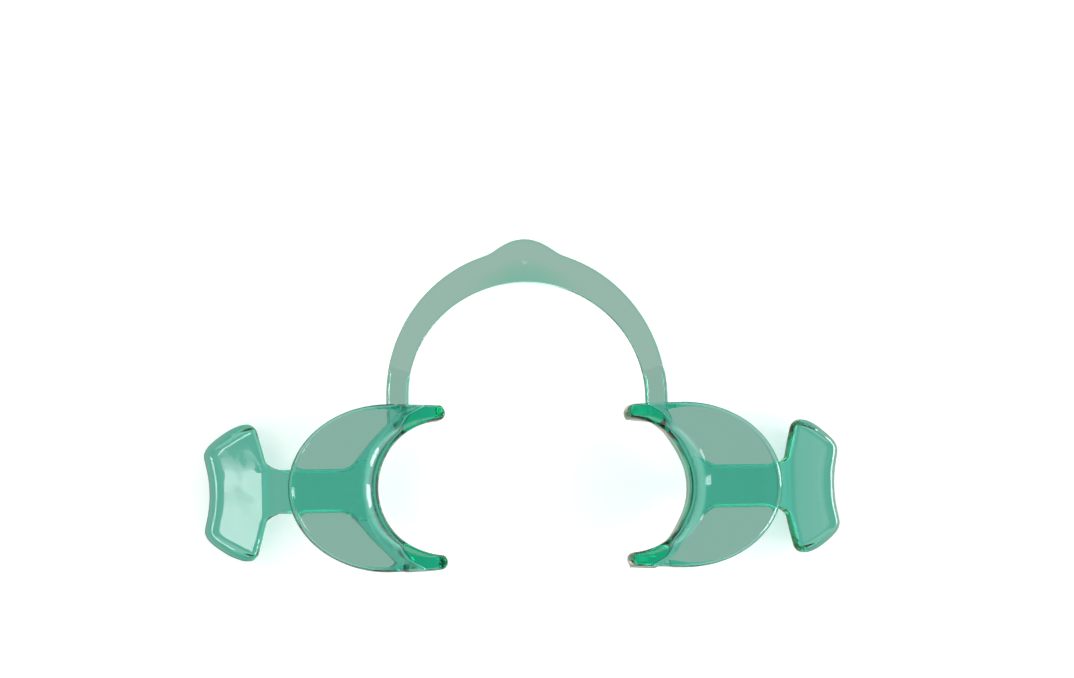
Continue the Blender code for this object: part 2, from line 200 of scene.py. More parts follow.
class RetractorSizes(bpy.types.PropertyGroup):
    """Sizes of the moulding."""

    throat_radius: a_length("Throat radius", "Radius of the C that holds the corner of the mouth", 13.2)
    throat_x: a_length("Throat centre", "From the middle to the throat's centre", FLANGE_LOW[0])
    web: a_length("Web wall", "Wall of the throat", 1.5)
    flange: a_length("Inner flange wall", "Wall of the wide crescent", 1.5)
    flange_centre: a_length("Flange ellipse centre", "From the middle to the ellipse's centre", FLANGE_CENTRE)
    flange_length: a_length(
        "Flange ellipse length", "Half length of the ellipse", FLANGE_HIGH[0] - FLANGE_CENTRE)
    flange_height: a_length(
        "Flange half height", "Half height of the wide crescent", (FLANGE_HIGH[1] - FLANGE_LOW[1]) / 2)
    horn_height: a_length("Horn half height", "From the middle line to the horn's outer edge", 15.9)
    horn_round: a_length("Horn tip", "Length of the horn's rounded tip", 1.35)
    inner_roll: a_length("Inner roll", "Roll into the wide crescent", 9.0)
    inner_roll_depth: a_length("Inner roll depth", "Depth over which the inner roll turns", 5.0)
    rim: a_length("Rim width", "Width of the rounded rim", 2.2)
    rim_drop: a_length("Rim drop", "How far the rim falls away", 1.0)
    outer_flange: a_length("Outer flange wall", "Wall of the narrow crescent", 2.0)
    outer_reach: a_length("Outer flange reach", "Width of the narrow crescent in its middle", 5.6)
    outer_flank: a_length("Outer flange flank", "Least width of the narrow crescent beside the stem", 3.25)
    outer_flank_angle: an_angle("Outer flank angle", "Where that least width lies round the throat", 42.0)
    outer_roll: a_length("Outer roll", "Roll into the narrow crescent", 3.6)
    outer_roll_depth: a_length("Outer roll depth", "Depth over which the outer roll turns", 5.0)
    sharp_edge: a_length("Sharp edge", "Rounding of the stem's and the narrow crescent's edges", 0.28)
    stem_width: a_length("Stem width", "Width of the flat stem", 8.5)
    stem_wall: a_length("Stem wall", "Wall of stem and handle", 2.8)
    stem_flare: a_length("Stem flare", "Flare of the stem at its root", 1.6)
    stem_flare_length: a_length("Flare length", "Length of that flare", 3.2)
    bend_x: a_length("Bend start", "Where the stem starts to sweep back", 50.2)
    bend_end: a_length("Bend end", "Where the sweep back is full", 53.4)
    sweep: an_angle("Handle sweep", "Slope of the handle's back", 15.1)
    handle_taper: a_length("Handle taper", "How much thinner the handle is at its end", 0.7)
    handle_swell: a_length("Handle swell", "How much thicker the handle's back is than the stem", 0.6)
    handle_edge: a_length("Handle edge", "Rounding of the handle's edges", 1.0)
    handle_x: a_length("Handle start", "Where the handle starts", 49.8)
    waist_x: a_length("Handle waist", "Handle's inner edge at the stem", 52.0)
    inner_corner_x: a_length("Inner corner", "Handle's inner edge at its tips", 54.5)
    handle_height: a_length("Handle half height", "From the middle line to the handle's tips", 13.4)
    handle_tip_x: a_length("Handle tip", "Outer corners of the fishtail", 64.85)
    handle_tip_height: a_length("Tip half height", "Half height of the outer corners", 8.2)
    lobe_x: a_length("Lobe end", "Outer edge at the fishtail's tips", 57.8)
    end_hollow: a_length("End hollow", "Hollow of the fishtail's end", 1.5)
    bow_wall: a_length("Bow wall", "Thickness of the bow", 1.2)
    root_wall: a_length("Root wall", "Thickness of the bow's feet", 1.3)
    bow_y: a_length("Bow centre", "Height of the bow's centre over the saddles' middle", 18.2)
    bow_half_width: a_length("Bow half width", "Inside half width", 24.0)
    bow_height: a_length("Bow height", "Inside height above its centre", 23.0)
    leg_width: a_length("Leg width", "Width of the bow at its legs", 4.3)
    crown_width: a_length("Crown width", "Width of the bow at its crown", 6.5)
    hump: a_length("Hump", "Height of the hump on the crown", 2.2)
    hump_radius: a_length("Hump radius", "Radius of the hump's dome", 7.5)
    lens: a_length("Crown lens", "Extra thickness inside the crown", 0.9)
    root_seam: an_angle("Root angle", "Where the feet thicken", 9.0)


class RetractorColours(bpy.types.PropertyGroup):
    """Colours of the moulding and of the studio."""

    tint: a_colour("Tint", "Colour that the plastic lets through", "#19FAEE")
    surface: a_colour("Surface", "Tint of each surface", "#F6FAF8")
    thin: a_colour("Thin wall", "Tint of the bow's thin wall", "#C7FFF8")
    lens: a_colour("Crown lens", "Tint of the thicker crown", "#8CFBE1")
    floor: a_colour("Floor", "Studio floor", "#F7F8F7")
    ground: a_colour("Ground", "Grey ground that shows through the plastic", "#D4CAC1")


def plain_sizes(scene):
    """The sizes as plain numbers in single precision, with lengths in millimetres and angles in degrees."""
    group = scene.retractor_sizes
    sizes = SimpleNamespace()
    for name in RetractorSizes.__annotations__:
        unit = MILLIMETRE if group.bl_rna.properties[name].subtype == "DISTANCE" else DEGREE
        size = round(getattr(group, name) / unit, SIZE_DIGITS)
        setattr(sizes, name, np.float32(size).item())
    return sizes


def smoothstep(low, high, value):
    """0 below low, 1 above high, and an S curve between them."""
    share = np.clip((value - low) / (high - low), 0.0, 1.0)
    return share * share * (3.0 - 2.0 * share)


def soft_minimum(first, second, blend):
    """The smaller of two curves, with their corner rounded over about the blend length."""
    return -blend * np.log(np.exp(-first / blend) + np.exp(-second / blend))


def column(values):
    """Values on a new last axis, one row each."""
    return values[:, None]


def stretch(first, last, steps):
    """Values from first to last along a new last axis, without the last one."""
    share = np.linspace(0.0, 1.0, steps, endpoint=False)
    return first[..., None] + (last - first)[..., None] * share


def quarter_circle(rows, steps):
    """Sine and cosine over a quarter turn, without its end, for each row."""
    zero = np.zeros_like(rows)
    angle = stretch(zero, zero + QUARTER_TURN, steps)
    return np.sin(angle), np.cos(angle)


# Curves and sections of the saddle

def front_edge(s, angle):
    """Inner flange's edge from the throat's centre: a half ellipse, then a straight line to the horn."""
    shift = s.flange_centre - s.throat_x
    across, up = np.cos(angle), np.abs(np.sin(angle))
    square = (across / s.flange_length) ** 2 + (up / s.flange_height) ** 2
    half = across * shift / s.flange_length**2
    on_ellipse = (half + np.sqrt(half**2 - square * ((shift / s.flange_length) ** 2 - 1.0))) / square
    rise = (s.flange_height - s.horn_height) / shift
    on_horn = s.horn_height / np.maximum(up - rise * across, LEAST_RISE)
    return np.where(up * shift > across * s.flange_height, on_horn, on_ellipse)


def rear_edge(s, angle):
    """Outer flange's edge from the throat's centre: an arc, a straight flank, then the horn's own edge."""
    straight = (s.throat_radius + s.outer_flank) / np.cos(np.abs(angle) - math.radians(s.outer_flank_angle))
    arc = np.full_like(angle, s.throat_radius + s.outer_reach)
    return soft_minimum(soft_minimum(straight, arc, FLANK_BLEND), front_edge(s, angle), FLANK_BLEND)


def horn_share(angle, reach_of_change):
    """How far the section has changed towards the horn's tip, from 0 to 1."""
    first, last = (math.radians(value) for value in reach_of_change)
    return smoothstep(first, last, np.abs(angle))


def flange_rolls(wall, edge, outside, roll):
    """Roll radii on the channel side and the throat side: both shrink as the flange narrows to the horn."""
    reach = edge - outside
    channel = ROLL_SHARE * roll * reach / (reach + roll)
    return channel, channel + wall * reach / (reach + ROLL_WALL_REACH)


def throat_wall(s, angle):
    """The wall's thickness and its lean: on the horns its back leans out to the flange's edge, and the wall
    thickens until it fills the tip."""
    horn = horn_share(angle, HORN_LEAN)
    web = s.web + (HORN_WEB - s.web) * horn
    web = web + (front_edge(s, angle) - s.throat_radius - web - HORN_SKIN) * horn_share(angle, HORN_TIP)
    room = rear_edge(s, angle) - s.throat_radius - web - HORN_SKIN
    return web, np.maximum(room, 0.0) * horn


def saddle_section(s, angle):
    """Closed section of the saddle at each angle, as radius and height round a U of wall, rolls and rims. On
    the horns the wall leans out to the flange's edge, the rolls shrink and the flange's lip grows deeper."""
    front, rear = front_edge(s, angle), rear_edge(s, angle)
    horn, lip_share = horn_share(angle, HORN_LEAN), horn_share(angle, LIP_RANGE)
    web, lean = throat_wall(s, angle)
    inside = np.full_like(angle, s.throat_radius)
    outside, heel = inside + web, rear - lean
    inner_roll = s.inner_roll * (1.0 - (1.0 - HORN_ROLL) * horn)
    channel_roll, throat_roll = flange_rolls(web, front, outside, inner_roll)
    back_channel_roll, back_throat_roll = flange_rolls(web, heel, outside, s.outer_roll)

    top, under = np.full_like(angle, FACE_Z), np.full_like(angle, FACE_Z - s.flange)
    bottom = BACK_Z + HORN_RISE * horn_share(angle, HORN_TAPER)
    shelf = bottom + s.outer_flange
    front_seam = FACE_Z - s.inner_roll_depth * (1.0 - (1.0 - HORN_ROLL_DEPTH) * horn)
    rear_seam = bottom + np.minimum(s.outer_roll_depth, SEAM_SHARE * (front_seam - bottom))

    rim = np.minimum(s.rim, RIM_SHARE * (front - inside - throat_roll))
    drop = s.rim_drop * rim / s.rim
    lip = np.minimum(s.sharp_edge, LIP_SHARE * (front - outside - channel_roll))
    tail = np.minimum(s.sharp_edge, TAIL_SHARE * (heel - outside - back_channel_roll))
    flat_end = outside + channel_roll
    lip_width = LIP_WIDTH[0] + (LIP_WIDTH[1] - LIP_WIDTH[0]) * lip_share
    lip_depth = LIP_DEPTH[0] + (LIP_DEPTH[1] - LIP_DEPTH[0]) * lip_share
    lip_inside = np.maximum(front - lip - lip_width, flat_end + HAIR)
    room = (lip_inside - flat_end) / np.maximum(lean, HAIR) * (under - bottom)
    lip_under = under - np.minimum(lip_depth, room + lip)
    lip_under = np.minimum(np.maximum(lip_under, shelf + LIP_GAP), under - lip)
    sin, cos = quarter_circle(angle, ROUND_STEPS)
    sin_fine, cos_fine = quarter_circle(angle, FINE_STEPS)

    def leaning(radius, height):
        """Moves points of the wall outwards by their depth under the flange."""
        share = np.clip((column(under) - height) / column(under - bottom), 0.0, 1.0)
        return radius + column(lean) * share, height

    def level(first, last, height, steps):
        """A straight stretch of the section at one height."""
        return stretch(first, last, steps), stretch(height, height, steps)

    def upright(radius, first, last, steps):
        """A straight stretch of the section at one radius."""
        return stretch(radius, radius, steps), stretch(first, last, steps)

    pieces = [
        leaning(column(heel) - column(tail) * (1 - cos_fine), column(bottom) + column(tail) * (1 - sin_fine)),
        leaning(*level(heel - tail, inside + back_throat_roll, bottom, SHELF_STEPS)),
        leaning(column(inside) + column(back_throat_roll) * (1 - sin),
                column(rear_seam) + column(bottom - rear_seam) * cos),
        leaning(*upright(inside, rear_seam, front_seam, WALL_STEPS)),
        leaning(column(inside) + column(throat_roll) * (1 - cos),
                column(front_seam) + column(top - front_seam) * sin),
        level(inside + throat_roll, front - rim, top, FACE_STEPS),
        (column(front) - column(rim) * (1 - sin), column(top) - column(drop) * (1 - cos)),
        upright(front, top - drop, lip_under + lip, EDGE_STEPS),
        (column(front) - column(lip) * (1 - cos_fine), column(lip_under) + column(lip) * (1 - sin_fine)),
        level(front - lip, lip_inside, lip_under, WALL_STEPS),
        upright(lip_inside, lip_under, under, SHELF_STEPS),
        level(lip_inside, flat_end, under, UNDER_STEPS),
        leaning(column(outside) + column(channel_roll) * (1 - sin),
                column(front_seam) + column(under - front_seam) * cos),
        leaning(*upright(outside, front_seam, rear_seam, WALL_STEPS)),
        leaning(column(outside) + column(back_channel_roll) * (1 - cos),
                column(rear_seam) + column(shelf - rear_seam) * sin),
        leaning(*level(outside + back_channel_roll, heel - tail, shelf, SHELF_STEPS)),
        leaning(column(heel) - column(tail) * (1 - sin_fine), column(shelf) - column(tail) * (1 - cos_fine)),
        leaning(*upright(heel, shelf - tail, bottom + tail, EDGE_STEPS)),
    ]
    return (np.concatenate(part, axis=1) for part in zip(*pieces))


def saddle_rings(s):
    """The saddle's section carried round the throat, with each horn drawn out into a rounded tip."""
    last = math.acos(s.horn_round / s.throat_radius)
    angle = np.linspace(-last, last, SADDLE_ROWS)
    tip = np.linspace(0.0, math.radians(TIP_TURN), TIP_ROWS + 1)[1:]
    angle = np.concatenate([np.full(TIP_ROWS, -last), angle, np.full(TIP_ROWS, last)])
    ahead = np.concatenate([-np.sin(tip[::-1]), np.zeros(SADDLE_ROWS), np.sin(tip)]) * s.horn_round
    narrowing = np.concatenate([np.cos(tip[::-1]), np.ones(SADDLE_ROWS), np.cos(tip)])
    radius, height = saddle_section(s, angle)
    middle = column((s.throat_radius + front_edge(s, angle)) / 2)
    radius = middle + (radius - middle) * column(narrowing)
    sin, cos = column(np.sin(angle)), column(np.cos(angle))
    fullest = FACE_Z - TIP_FULLEST
    from_fullest = (fullest - height) / np.where(height > fullest, *TIP_ROUND)
    ahead = column(ahead) * np.sqrt(np.maximum(1.0 - from_fullest**2, 0.0))
    x = s.throat_x + radius * cos - ahead * sin
    y = radius * sin + ahead * cos
    return np.stack([x, y, height], axis=-1)


# Bars of the bow, the stem and the handle

def rounded_bar(width, wall, corner):
    """Closed rounded rectangle for each row: place across it from 0 to 1, and height from 0 to the wall."""
    sin, cos = quarter_circle(width, CORNER_STEPS)
    w, t, c = column(width), column(wall), column(corner)
    along = stretch(corner, width - corner, BAR_STEPS)
    back_along = stretch(width - corner, corner, BAR_STEPS)
    place = [c - c * cos, along, w - c + c * sin, w - c + c * cos, back_along, c - c * sin]
    height = [c - c * sin, 0.0 * along, c - c * cos, t - c + c * sin, t + 0.0 * along, t - c + c * cos]
    return np.concatenate(place, axis=1) / w, np.concatenate(height, axis=1)


def bar_rings(inner, outer, back, wall, corner):
    """A rounded bar between two edges, standing on a back height: one closed ring for each row."""
    width = np.linalg.norm(outer - inner, axis=-1)
    place, height = rounded_bar(width, wall, np.full_like(width, corner))
    flat = inner[:, None] + (outer - inner)[:, None] * place[..., None]
    return np.concatenate([flat, (column(back) + height)[..., None]], axis=-1), place, height


def near_edge(inner, outer, place, width):
    """1 at both edges of a bar, and falling to 0 over about the width, as a bell curve."""
    from_edge = np.minimum(place, 1.0 - place) * column(np.linalg.norm(outer - inner, axis=-1))
    return np.exp(-((from_edge / width) ** 2))


def edge_bead(inner, outer, place, depth_share):
    """Height of a fine moulded bead along both edges of a bar's front."""
    return BEAD_HEIGHT * np.clip(depth_share, 0.0, 1.0) * near_edge(inner, outer, place, BEAD_WIDTH)


def bow_edges(s, angle):
    """Inner and outer edge of the bow: two half ellipses, and a dome on the middle of the outer one."""
    inner = np.stack([s.bow_half_width * np.cos(angle), s.bow_y + s.bow_height * np.sin(angle)], axis=-1)
    outer_x = (s.bow_half_width + s.leg_width) * np.cos(angle)
    outer_height = s.bow_height + s.crown_width
    ellipse_y = s.bow_y + outer_height * np.sin(angle)
    dome_y = s.bow_y + outer_height + s.hump - outer_x**2 / s.hump_radius / 2
    return inner, np.stack([outer_x, -soft_minimum(-ellipse_y, -dome_y, HUMP_BLEND)], axis=-1)


def bow_rings(s, first, last, rows):
    """A length of the bow: a bar with a lens-shaped swelling inside the crown and the gate's dimple, and at
    each point how deep the green is."""
    angle = np.linspace(math.radians(first), math.radians(last), rows)
    inner, outer = bow_edges(s, angle)
    back, wall = np.full_like(angle, BACK_Z), np.full_like(angle, s.bow_wall)
    rings, place, height = bar_rings(inner, outer, back, wall, BOW_CORNER)
    across_lens = np.clip(1.0 - (rings[..., 0] / LENS_HALF_WIDTH) ** 2, 0.0, 1.0)
    up_lens = np.clip(1.0 - (place / LENS_SHARE) ** 2, 0.0, 1.0)
    front = np.clip(height / s.bow_wall, 0.0, 1.0)
    swelling = front * across_lens * np.sqrt(across_lens) * up_lens
    rings[..., 2] += s.lens * swelling
    gate = np.hypot(rings[..., 0], rings[..., 1] - GATE_Y)
    rings[..., 2] -= GATE_DEPTH * front * np.exp(-((gate / GATE_RADIUS) ** 2))
    return rings, np.maximum(swelling, near_edge(inner, outer, place, EDGE_TINT_WIDTH))


def leg_rings(s, first):
    """The lower bow and its thicker foot, which runs straight down and ends inside the throat's wall."""
    angle = np.linspace(math.radians(first), 0.0, LEG_ROWS)
    inner, outer = bow_edges(s, angle)
    foot_x = np.array([s.bow_half_width, s.bow_half_width + s.leg_width])
    web, lean = throat_wall(s, np.arctan2(s.throat_radius + s.web, foot_x - s.throat_x))
    foot_radius = s.throat_radius + (web + lean) * FOOT_SINK
    foot_y = np.sqrt(foot_radius**2 - (foot_x - s.throat_x) ** 2)
    down = np.linspace(0.0, 1.0, FOOT_ROWS + 1)[1:]
    ends = s.bow_y + (foot_y - s.bow_y) * column(down)
    inner = np.concatenate([inner, np.stack([np.full_like(down, foot_x[0]), ends[:, 0]], axis=-1)])
    outer = np.concatenate([outer, np.stack([np.full_like(down, foot_x[1]), ends[:, 1]], axis=-1)])
    angle = np.concatenate([angle, np.zeros(FOOT_ROWS)])
    seam_end = s.root_seam + FOOT_CHANGE
    foot = 1.0 - smoothstep(math.radians(s.root_seam), math.radians(seam_end), angle)
    wall = s.bow_wall + (s.root_wall - s.bow_wall) * foot
    rings, place, height = bar_rings(inner, outer, BACK_Z - PROUD * foot, wall, BOW_CORNER)
    rings[..., 2] += column(foot) * edge_bead(inner, outer, place, height / s.root_wall)
    return rings


def sweep_share(s, x):
    """0 before the stem's bend, 1 past it, and growing evenly between."""
    return np.clip((x - s.bend_x) / (s.bend_end - s.bend_x), 0.0, 1.0)


def swept_back(s, x):
    """Height of the stem's and handle's back: flat, then a parabola, then a straight slope down."""
    slope = math.tan(math.radians(s.sweep))
    bend = s.bend_end - s.bend_x
    return BACK_Z - slope * bend * sweep_share(s, x) ** 2 / 2 - slope * np.maximum(x - s.bend_end, 0.0)


def stem_rings(s):
    """The flat stem: rounded bars across it, from inside the outer flange to inside the handle."""
    x = np.linspace(s.throat_x + s.throat_radius + s.web, s.handle_x + STEM_SINK, STEM_ROWS)
    flank, lean = s.throat_radius + s.outer_flank, math.radians(s.outer_flank_angle)
    root = s.throat_x + (flank - (s.stem_width / 2 + s.stem_flare) * math.sin(lean)) / math.cos(lean)
    flare = s.stem_flare * np.clip(1.0 - (x - root) / s.stem_flare_length, 0.0, 1.0) ** 2
    half = s.stem_width / 2 + flare
    inner, outer = np.stack([x, -half], axis=-1), np.stack([x, half], axis=-1)
    wall = np.full_like(x, s.stem_wall + 2 * PROUD)
    rings, place, height = bar_rings(inner, outer, swept_back(s, x) - PROUD, wall, s.sharp_edge)
    free = 1.0 - smoothstep(s.handle_x - s.stem_flare_length, s.handle_x, x)
    rings[..., 2] += column(free) * edge_bead(inner, outer, place, height / s.stem_wall)
    return rings


def handle_edges(s, y):
    """Inner and outer edge of the fishtail across its height: slanted flanks, hollow end, rounded corners."""
    up, half_stem = np.abs(y), s.stem_width / 2
    corner = np.clip((up - s.handle_height + HANDLE_ROUND) / HANDLE_ROUND, 0.0, 1.0)
    rounding = HANDLE_ROUND * (1.0 - np.sqrt(1.0 - HANDLE_ROUND_FULL * corner**2))
    flank = s.waist_x + (s.inner_corner_x - s.waist_x) * (up - half_stem) / (s.handle_height - half_stem)
    fillet = (s.waist_x - s.handle_x) * np.clip(1.0 - (up - half_stem) / HANDLE_FILLET, 0.0, 1.0) ** 2
    inner = np.where(up <= half_stem, s.handle_x, flank - fillet) + rounding
    hollow = s.handle_tip_x - s.end_hollow * (1.0 - (up / s.handle_tip_height) ** 2)
    lobe_height = s.handle_height - s.handle_tip_height
    slope = (s.handle_tip_x - s.lobe_x) / lobe_height
    along = np.clip((up - s.handle_tip_height) / lobe_height, 0.0, 1.0)
    lobe = s.handle_tip_x - slope * (up - s.handle_tip_height) + 4.0 * LOBE_BULGE * along * (1.0 - along)
    return inner, soft_minimum(hollow, lobe, HANDLE_BLEND) - rounding


def handle_rings(s):
    """The fishtail: one closed lane for each height, with a broad rounded rim and a bead along its outer
    edge, tapered, thickened at its back and sheared along the sweep."""
    lanes = np.linspace(-HANDLE_SPREAD, HANDLE_SPREAD, HANDLE_ROWS)
    y = (s.handle_height - HAIR) * np.sin(lanes) / math.sin(HANDLE_SPREAD)
    inner, outer = handle_edges(s, y)
    width = outer - inner
    slant = np.sqrt(1.0 + np.minimum(np.gradient(outer, y) ** 2, SLANT_MOST))
    rim = np.minimum(s.rim * slant, RIM_MOST * width)
    outer_edge = np.minimum(s.handle_edge, EDGE_MOST * width)
    edge = np.where(np.abs(y) < s.stem_width / 2, HAIR, outer_edge)
    ends = np.clip((np.abs(y) - s.handle_height + HANDLE_END) / HANDLE_END, 0.0, 1.0)
    wall = s.stem_wall * np.sqrt(1.0 - HANDLE_END_FULL * ends**2)
    drop = RIM_FALL * wall
    lip, outer_lip = (np.minimum(EDGE_DEPTH * wall, value) for value in (edge, outer_edge))
    zero = np.zeros_like(y)
    sin, cos = quarter_circle(y, ROUND_STEPS)
    pieces = [
        (column(inner) + column(edge) * (1 - cos), column(lip) * (1 - sin)),
        (stretch(inner + edge, outer - outer_edge, PLATE_STEPS), stretch(zero, zero, PLATE_STEPS)),
        (column(outer - outer_edge) + column(outer_edge) * sin, column(outer_lip) * (1 - cos)),
        (column(outer - rim) + column(rim) * cos, column(wall - drop) + column(drop) * sin),
        (stretch(outer - rim, inner + edge, PLATE_STEPS), stretch(wall, wall, PLATE_STEPS)),
        (column(inner) + column(edge) * (1 - sin), column(wall - lip) + column(lip) * cos),
    ]
    x, height = (np.concatenate(part, axis=1) for part in zip(*pieces))
    taper = s.handle_taper / s.stem_wall * np.clip((x - s.bend_end) / (s.handle_tip_x - s.bend_end), 0.0, 1.0)
    height = (column((s.stem_wall - wall) / 2) + height) * (1.0 - taper)
    from_rim = (column(outer) - x) / column(slant)
    front = np.clip(height / s.stem_wall * 2.0 - 1.0, 0.0, 1.0)
    height = height + RIM_BEAD * front * np.exp(-(((from_rim - RIM_BEAD_PLACE) / RIM_BEAD_WIDTH) ** 2))
    at_back = 1.0 - np.clip(height / s.stem_wall, 0.0, 1.0)
    height = height - s.handle_swell * sweep_share(s, x) * at_back
    lean = math.radians(s.sweep) * sweep_share(s, x)
    sheared = x + (height - s.stem_wall / 2) * np.sin(lean)
    return np.stack([sheared, column(y) + 0.0 * x, swept_back(s, x) + height * np.cos(lean)], axis=-1)


# Meshes and materials

def add_piece(name, rings, side, capped=True):
    """A mesh from a stack of closed rings, on its own side of the middle, with or without its end caps."""
    rows, loop = rings.shape[:2]
    points = rings.reshape(-1, 3) * np.array([side, 1.0, 1.0]) + np.array([0.0, SADDLE_Y, 0.0])
    index = np.arange(rows * loop).reshape(rows, loop)
    onward = np.roll(index, -1, axis=1)
    quads = np.stack([index[:-1], index[1:], onward[1:], onward[:-1]], axis=-1).reshape(-1, 4)
    caps = [index[0].tolist(), index[-1, ::-1].tolist()] if capped else []
    mesh = bpy.data.meshes.new(name)
    mesh.from_pydata((points * MILLIMETRE).tolist(), [], quads.tolist() + caps)
    body = bmesh.new()
    body.from_mesh(mesh)
    bmesh.ops.recalc_face_normals(body, faces=body.faces)
    body.to_mesh(mesh)
    body.free()
    piece = bpy.data.objects.new(name, mesh)
    bpy.context.scene.collection.objects.link(piece)
    return piece


def add_bow_piece(name, rings, depth, side, plastic):
    """A length of the bow, which keeps the depth of its green at each point. Its ends stay open, because a
    wall where two lengths meet would show through the clear plastic."""
    piece = add_piece(name, rings, side, capped=False)
    attribute = piece.data.attributes.new(LENS_ATTRIBUTE, "FLOAT", "POINT")
    attribute.data.foreach_set("value", depth.astype(np.float32).ravel())
    finish_piece(piece, plastic)
    return piece


def fuse(piece, others):
    """Joins other closed meshes to a piece, so that no wall is left inside the clear plastic, and closes the
    hair-fine slits that the union leaves."""
    for other in others:
        union = piece.modifiers.new("union", "BOOLEAN")
        union.operation = "UNION"
        union.solver = "EXACT"
        union.object = other
    graph = bpy.context.evaluated_depsgraph_get()
    whole = bpy.data.meshes.new_from_object(piece.evaluated_get(graph))
    body = bmesh.new()
    body.from_mesh(whole)
    bmesh.ops.remove_doubles(body, verts=body.verts, dist=WELD * MILLIMETRE)
    bmesh.ops.dissolve_degenerate(body, edges=body.edges, dist=WELD * MILLIMETRE)
    bmesh.ops.delete(body, geom=[edge for edge in body.edges if edge.is_wire], context="EDGES")
    bmesh.ops.holes_fill(body, edges=[edge for edge in body.edges if edge.is_boundary], sides=0)
    bmesh.ops.recalc_face_normals(body, faces=body.faces)
    body.to_mesh(whole)
    body.free()
    piece.modifiers.clear()
    piece.data = whole
    for other in others:
        bpy.data.objects.remove(other, do_unlink=True)


def finish_piece(piece, plastic):
    """Smooth shading with true corners kept, and the clear plastic as the mesh's one material."""
    piece.data.shade_smooth()
    piece.data.set_sharp_from_angle(angle=math.radians(SHARP_ANGLE))
    piece.data.materials.clear()
    piece.data.materials.append(plastic)


def add_node(tree, kind, values=None, links=None, **settings):
    """A node with its settings, its sockets' values and what is linked into it."""
    node = tree.nodes.new(kind)
    for key, value in settings.items():
        setattr(node, key, value)
    for socket, value in (values or {}).items():
        node.inputs[socket].default_value = value
    for socket, source in (links or {}).items():
        tree.links.new(source, node.inputs[socket])
    return node


def moulded_gloss(material, tint):
    """Nodes of a polished moulded surface: faint flow waves and patches of haze on clear plastic."""
    material.use_nodes = True
    tree = material.node_tree
    tree.nodes.clear()
    place = add_node(tree, "ShaderNodeTexCoord").outputs["Object"]
    flow = add_node(
        tree, "ShaderNodeTexNoise",
        {"Scale": 1.0 / (FLOW_WAVE * MILLIMETRE), "Detail": FLOW_DETAIL}, {"Vector": place})
    haze = add_node(
        tree, "ShaderNodeTexNoise",
        {"Scale": 1.0 / (HAZE_PATCH * MILLIMETRE), "Detail": HAZE_DETAIL}, {"Vector": place})
    rough = add_node(
        tree, "ShaderNodeMapRange",
        {"From Min": HAZE_LEVELS[0], "From Max": HAZE_LEVELS[1], "To Min": GLOSS[0], "To Max": GLOSS[1]},
        {"Value": haze.outputs["Fac"]})
    bump = add_node(
        tree, "ShaderNodeBump",
        {"Strength": FLOW_STRENGTH, "Distance": FLOW_DEPTH * MILLIMETRE}, {"Height": flow.outputs["Fac"]})
    shader = add_node(
        tree, "ShaderNodeBsdfPrincipled",
        {"Base Color": tint, "IOR": POLYCARBONATE_IOR, "Transmission Weight": 1.0, "Metallic": 0.0},
        {"Roughness": rough.outputs["Result"], "Normal": bump.outputs["Normal"]})
    output = add_node(tree, "ShaderNodeOutputMaterial", None, {"Surface": shader.outputs["BSDF"]})
    return tree, shader, output


def solid_plastic(colours):
    """Transparent green polycarbonate, injection moulded in a polished tool, for the closed saddles.

    It is glossy and see-through: the green gathers with depth, so thin walls look pale and the rolls,
    horns and thick edges look deep.
    """
    material = bpy.data.materials.new("clear_green_polycarbonate_moulded")
    tree, _, output = moulded_gloss(material, colours.surface)
    inside = add_node(tree, "ShaderNodeVolumeAbsorption", {"Color": colours.tint, "Density": TINT_PER_METRE})
    tree.links.new(inside.outputs["Volume"], output.inputs["Volume"])
    return material


def thin_plastic(colours):
    """The same moulded polycarbonate for the thin bow, whose lengths meet without a wall between them.

    Each surface holds half the green of the thin wall, so the bow is pale and even, and the lens inside
    the crown and the bow's edges are a deeper green.
    """
    material = bpy.data.materials.new(THIN_PLASTIC)
    tree, shader, _ = moulded_gloss(material, colours.thin)
    lens = add_node(tree, "ShaderNodeAttribute", attribute_name=LENS_ATTRIBUTE)
    depth = add_node(tree, "ShaderNodeValToRGB", None, {"Fac": lens.outputs["Fac"]})
    depth.color_ramp.elements[0].color = colours.thin
    depth.color_ramp.elements[1].color = colours.lens
    tree.links.new(depth.outputs["Color"], shader.inputs["Base Color"])
    return material


# Operators

class RETRACTOR_OT_crown(bpy.types.Operator):
    """Makes the middle of the bow, with its hump and the thick zone inside it."""

    bl_idname = "retractor.crown"
    bl_label = "Bow crown"

    def execute(self, context):
        plastic = thin_plastic(context.scene.retractor_colours)
        rings, depth = bow_rings(plain_sizes(context.scene), CROWN_END, 180 - CROWN_END, CROWN_ROWS)
        crown = add_bow_piece("bow_crown_skin", rings, depth, 1.0, plastic)
        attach(crown, "crown")
        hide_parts("bow_crown")
        return {"FINISHED"}


class RETRACTOR_OT_arms(bpy.types.Operator):
    """Makes the shoulder and the leg of the bow on each side, the parts that bend in the real bow when it is
    squeezed.
    """

    bl_idname = "retractor.arms"
    bl_label = "Bow arms"

    def execute(self, context):
        sizes = plain_sizes(context.scene)
        plastic = bpy.data.materials.get(THIN_PLASTIC) or thin_plastic(context.scene.retractor_colours)
        for label, side in SIDES.items():
            lengths = (
                ("shoulder", CROWN_END, ARM_SPLIT, "crown", f"shoulder_{label}"),
                ("leg", ARM_SPLIT, LEG_SPLIT, f"shoulder_{label}", f"leg_{label}"),
            )
            for part, first, last, fixed, moved in lengths:
                rings, depth = bow_rings(sizes, first, last, ARM_ROWS)
                arm = add_bow_piece(f"bow_{part}_skin_{label}", rings, depth, side, plastic)
                node = f"bow_{part}_{label}"
                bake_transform(arm)
                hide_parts(node)
        return {"FINISHED"}


